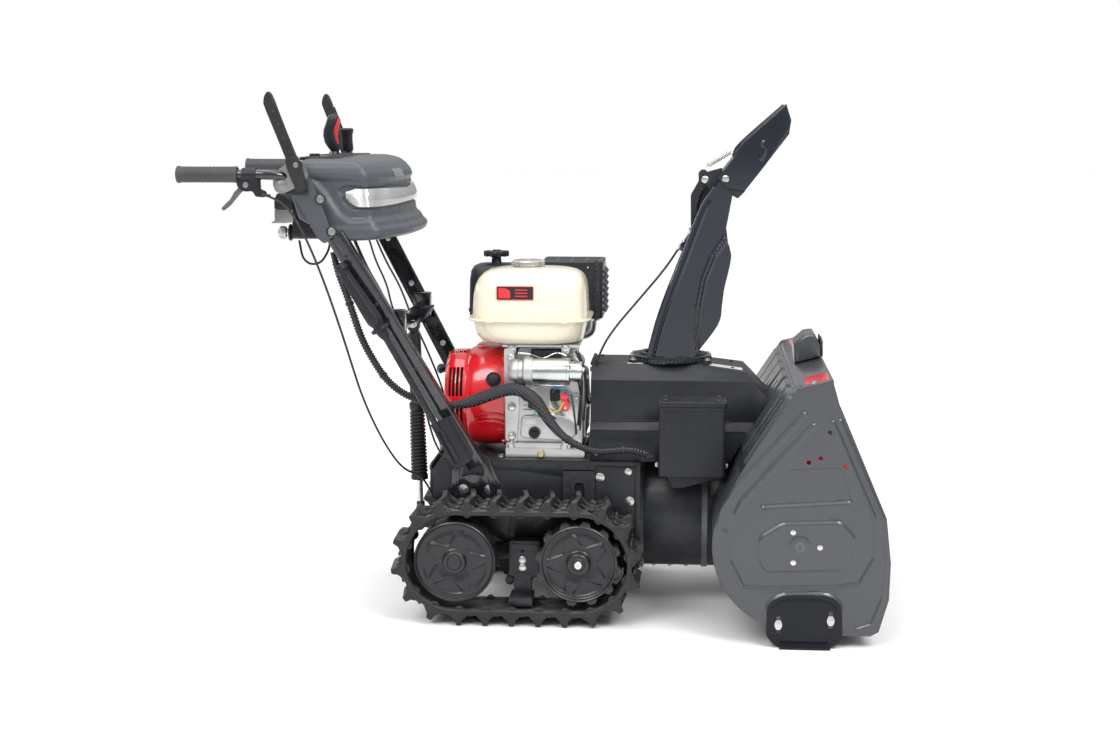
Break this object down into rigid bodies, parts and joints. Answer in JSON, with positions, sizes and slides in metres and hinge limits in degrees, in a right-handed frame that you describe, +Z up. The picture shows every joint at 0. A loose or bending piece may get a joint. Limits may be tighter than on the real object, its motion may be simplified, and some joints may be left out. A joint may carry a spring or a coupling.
{
  "type": "tracked two-stage snow blower",
  "caption": "Walk-behind tracked snow blower: auger housing with ribbon augers and impeller, turning chute with tilting deflector, petrol engine, belt drive, rubber tracks and handlebars.",
  "frame": {"origin": "on the ground under the centre of the bounding box", "axes": "+X forward to the augers, +Y to the machine's left, +Z up"},
  "size_m": [1.544, 0.816, 1.182],
  "materials": {
    "frame_black": "satin black powder coat",
    "gloss_black": "gloss black paint",
    "housing_grey": "dark grey powder coat",
    "chute_black": "dark navy black gloss",
    "moulded_black": "moulded black",
    "console_grey": "dark grey plastic",
    "tank_white": "ivory enamel",
    "engine_red": "bright red gloss paint",
    "auger_red": "red paint",
    "cast_alloy": "as cast",
    "bright_steel": "zinc plated",
    "track_rubber": "moulded track rubber",
    "grip_rubber": "soft grip",
    "belt_rubber": "belt",
    "cable_black": "cable jacket",
    "clear_lens": "clear lens"
  },
  "bodies": {
    "chassis": {"chassis_frame": "frame_black", "transmission_case": "cast_alloy", "engine_block": "cast_alloy", "fan_cover": "engine_red", "recoil_cover": "engine_red", "fuel_tank": "tank_white", "air_cleaner": "moulded_black", "muffler": "moulded_black", "starter_motor": "bright_steel", "belt_cover": "moulded_black", "drive_belt": "belt_rubber", "impeller_housing": "frame_black", "auger_housing": "housing_grey", "side_plates": "housing_grey", "scraper_bar": "frame_black", "skid_shoes": "frame_black", "work_lamp": "console_grey", "work_lamp_lens": "clear_lens", "auger_gearbox": "cast_alloy", "battery_box": "moulded_black", "battery": "moulded_black", "handle_beams": "gloss_black", "handle_brackets": "console_grey", "handle_bars": "gloss_black", "grips": "grip_rubber", "console": "console_grey", "console_lens": "clear_lens", "tool_tray": "moulded_black", "fasteners": "bright_steel", "cables": "cable_black", "deflector_cable": "cable_black"},
    "crank": {"crankshaft": "bright_steel"},
    "auger": {"auger_shaft": "bright_steel", "auger_flights": "auger_red"},
    "impeller": {"impeller": "auger_red"},
    "track_frame": {"track_frame": "frame_black", "tracks": "track_rubber"},
    "drive_left": {"drive_wheel_left": "moulded_black"},
    "drive_right": {"drive_wheel_right": "moulded_black"},
    "idler_left": {"idler_wheel_left": "moulded_black"},
    "idler_right": {"idler_wheel_right": "moulded_black"},
    "strut_cylinder": {"strut_cylinder": "frame_black", "strut_boot": "grip_rubber"},
    "strut_rod": {"strut_rod": "bright_steel"},
    "chute": {"chute": "chute_black", "deflector_spring": "bright_steel"},
    "deflector": {"deflector": "chute_black"},
    "deflector_arm": {"deflector_arm": "frame_black"},
    "clutch_lever_left": {"clutch_lever_left": "moulded_black"},
    "clutch_lever_right": {"clutch_lever_right": "moulded_black"},
    "steering_trigger_left": {"steering_trigger_left": "moulded_black"},
    "steering_trigger_right": {"steering_trigger_right": "moulded_black"},
    "shift_lever": {"shift_lever": "moulded_black"},
    "joystick_gimbal": {"joystick_gimbal": "bright_steel"},
    "joystick": {"joystick": "moulded_black"},
    "fuel_cap": {"fuel_cap": "bright_steel"},
    "recoil_handle": {"recoil_handle": "moulded_black"},
    "throttle_lever": {"throttle_lever": "engine_red"},
    "ignition_key": {"ignition_key": "moulded_black"},
    "clean_out_tool": {"clean_out_tool": "moulded_black"}
  },
  "joints": [
    {"name": "crank_spin", "type": "hinge", "parent": "chassis", "child": "crank", "pos_m": [0, 0, 0.472], "axis": [1, 0, 0], "continuous": true},
    {"name": "auger_spin", "type": "hinge", "parent": "chassis", "child": "auger", "pos_m": [0.581, 0, 0.221], "axis": [0, 1, 0], "continuous": true},
    {"name": "impeller_spin", "type": "hinge", "parent": "chassis", "child": "impeller", "pos_m": [0.3, 0, 0.221], "axis": [1, 0, 0], "continuous": true},
    {"name": "track_tilt", "type": "hinge", "parent": "chassis", "child": "track_frame", "pos_m": [0.101, 0, 0.144], "axis": [0, 1, 0], "range_deg": [-4, 5]},
    {"name": "drive_spin_left", "type": "hinge", "parent": "chassis", "child": "drive_left", "pos_m": [0.101, 0.246, 0.144], "axis": [0, 1, 0], "continuous": true},
    {"name": "drive_spin_right", "type": "hinge", "parent": "chassis", "child": "drive_right", "pos_m": [0.101, -0.246, 0.144], "axis": [0, 1, 0], "continuous": true},
    {"name": "idler_spin_left", "type": "hinge", "parent": "track_frame", "child": "idler_left", "pos_m": [-0.176, 0.246, 0.144], "axis": [0, 1, 0], "continuous": true},
    {"name": "idler_spin_right", "type": "hinge", "parent": "track_frame", "child": "idler_right", "pos_m": [-0.176, -0.246, 0.144], "axis": [0, 1, 0], "continuous": true},
    {"name": "strut_swing", "type": "hinge", "parent": "chassis", "child": "strut_cylinder", "pos_m": [-0.305, 0, 0.64], "axis": [0, 1, 0], "range_deg": [-1, 1]},
    {"name": "strut_travel", "type": "slide", "parent": "strut_cylinder", "child": "strut_rod", "axis": [0.0264, 0, -0.9997], "range_m": [-0.045, 0.03], "deforming": ["strut_boot"]},
    {"name": "chute_turn", "type": "hinge", "parent": "chassis", "child": "chute", "pos_m": [0.297, 0, 0.566], "axis": [0, 0, 1], "range_deg": [-100, 100], "deforming": ["deflector_cable"]},
    {"name": "deflector_tilt", "type": "hinge", "parent": "chute", "child": "deflector", "pos_m": [0.418, 0, 0.988], "axis": [0, 1, 0], "range_deg": [0, 40], "deforming": ["deflector_spring"]},
    {"name": "deflector_arm_turn", "type": "hinge", "parent": "chute", "child": "deflector_arm", "pos_m": [0.372, -0.027, 0.985], "axis": [0, 1, 0], "range_deg": [0, 25]},
    {"name": "clutch_left", "type": "hinge", "parent": "chassis", "child": "clutch_lever_left", "pos_m": [-0.508, 0.3, 1.024], "axis": [0, 1, 0], "range_deg": [-62, 0], "stiffness_Nm_per_rad": 1, "springref_deg": 20.05},
    {"name": "clutch_right", "type": "hinge", "parent": "chassis", "child": "clutch_lever_right", "pos_m": [-0.508, -0.3, 1.024], "axis": [0, 1, 0], "range_deg": [-62, 0], "stiffness_Nm_per_rad": 1, "springref_deg": 20.05},
    {"name": "steering_left", "type": "hinge", "parent": "chassis", "child": "steering_trigger_left", "pos_m": [-0.619, 0.3, 0.982], "axis": [0, 1, 0], "range_deg": [0, 20], "stiffness_Nm_per_rad": 0.5, "springref_deg": -17.19},
    {"name": "steering_right", "type": "hinge", "parent": "chassis", "child": "steering_trigger_right", "pos_m": [-0.619, -0.3, 0.982], "axis": [0, 1, 0], "range_deg": [0, 20], "stiffness_Nm_per_rad": 0.5, "springref_deg": -17.19},
    {"name": "gear_shift", "type": "hinge", "parent": "chassis", "child": "shift_lever", "pos_m": [-0.496, 0, 0.93], "axis": [0, 1, 0], "range_deg": [-14, 14]},
    {"name": "joystick_roll", "type": "hinge", "parent": "chassis", "child": "joystick_gimbal", "pos_m": [-0.466, 0.06, 1.006], "axis": [1, 0, 0], "range_deg": [-14, 14]},
    {"name": "joystick_pitch", "type": "hinge", "parent": "joystick_gimbal", "child": "joystick", "pos_m": [-0.466, 0.06, 1.006], "axis": [0, 1, 0], "range_deg": [-14, 14]},
    {"name": "fuel_cap_turn", "type": "hinge", "parent": "chassis", "child": "fuel_cap", "pos_m": [-0.033, -0.02, 0.79], "axis": [0, 0, 1], "range_deg": [0, 90]},
    {"name": "recoil_pull", "type": "slide", "parent": "chassis", "child": "recoil_handle", "axis": [-1, 0, 0], "range_m": [0, 0.35], "stiffness_N_per_m": 15, "springref_m": -0.15},
    {"name": "throttle", "type": "hinge", "parent": "chassis", "child": "throttle_lever", "pos_m": [0.062, -0.144, 0.474], "axis": [0, 1, 0], "range_deg": [-20, 20]},
    {"name": "ignition", "type": "hinge", "parent": "chassis", "child": "ignition_key", "pos_m": [-0.56, -0.15, 0.868], "axis": [1, 0, 0], "range_deg": [0, 60]},
    {"name": "clean_out_lift", "type": "slide", "parent": "chassis", "child": "clean_out_tool", "axis": [0, -1, 0], "range_m": [0, 0.15]}
  ],
  "couplings": [
    {"joint": "impeller_spin", "follows": "auger_spin", "ratio": 10},
    {"joint": "idler_spin_left", "follows": "drive_spin_left", "ratio": 1},
    {"joint": "idler_spin_right", "follows": "drive_spin_right", "ratio": 1},
    {"joint": "strut_swing", "follows": "track_tilt", "ratio": -0.086},
    {"joint": "strut_travel", "follows": "track_tilt", "m_per_rad": -0.392},
    {"joint": "deflector_arm_turn", "follows": "deflector_tilt", "ratio": 0.5}
  ]
}
